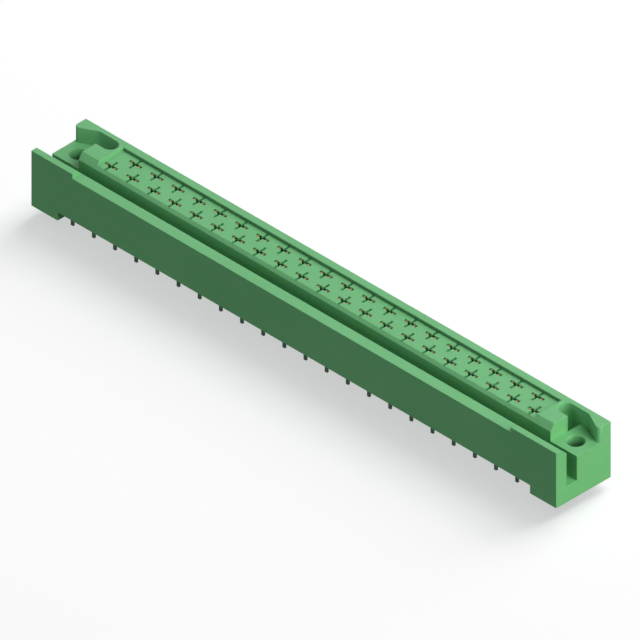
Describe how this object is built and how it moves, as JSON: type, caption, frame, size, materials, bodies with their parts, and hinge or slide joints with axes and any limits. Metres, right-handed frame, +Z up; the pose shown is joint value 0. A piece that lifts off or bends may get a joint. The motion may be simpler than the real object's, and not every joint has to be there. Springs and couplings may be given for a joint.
{
  "type": "two-row board connector",
  "caption": "Long green moulded board connector: a guide slot along the front, and two staggered rows of cross-shaped cavities holding forked contacts whose tails solder to a board.",
  "frame": {"origin": "midway between the two mounting holes, on the seating plane of the feet", "axes": "+X along the housing, +Y from the guide slot towards the back wall, +Z up, the way the mating half is pulled off"},
  "size_m": [0.126, 0.0132, 0.0135],
  "materials": {
    "housing_plastic": "satin green thermoset moulding",
    "contact_metal": "gold flash over nickel on the forks"
  },
  "bodies": {
    "root": {"housing": "housing_plastic", "contact_front_01": "contact_metal", "contact_front_02": "contact_metal", "contact_front_03": "contact_metal", "contact_front_04": "contact_metal", "contact_front_05": "contact_metal", "contact_front_06": "contact_metal", "contact_front_07": "contact_metal", "contact_front_08": "contact_metal", "contact_front_09": "contact_metal", "contact_front_10": "contact_metal", "contact_front_11": "contact_metal", "contact_front_12": "contact_metal", "contact_front_13": "contact_metal", "contact_front_14": "contact_metal", "contact_front_15": "contact_metal", "contact_front_16": "contact_metal", "contact_front_17": "contact_metal", "contact_front_18": "contact_metal", "contact_front_19": "contact_metal", "contact_front_20": "contact_metal", "contact_front_21": "contact_metal", "contact_back_01": "contact_metal", "contact_back_02": "contact_metal", "contact_back_03": "contact_metal", "contact_back_04": "contact_metal", "contact_back_05": "contact_metal", "contact_back_06": "contact_metal", "contact_back_07": "contact_metal", "contact_back_08": "contact_metal", "contact_back_09": "contact_metal", "contact_back_10": "contact_metal", "contact_back_11": "contact_metal", "contact_back_12": "contact_metal", "contact_back_13": "contact_metal", "contact_back_14": "contact_metal", "contact_back_15": "contact_metal", "contact_back_16": "contact_metal", "contact_back_17": "contact_metal", "contact_back_18": "contact_metal", "contact_back_19": "contact_metal", "contact_back_20": "contact_metal", "board_pin_left": "contact_metal", "board_pin_right": "contact_metal"}
  },
  "joints": []
}
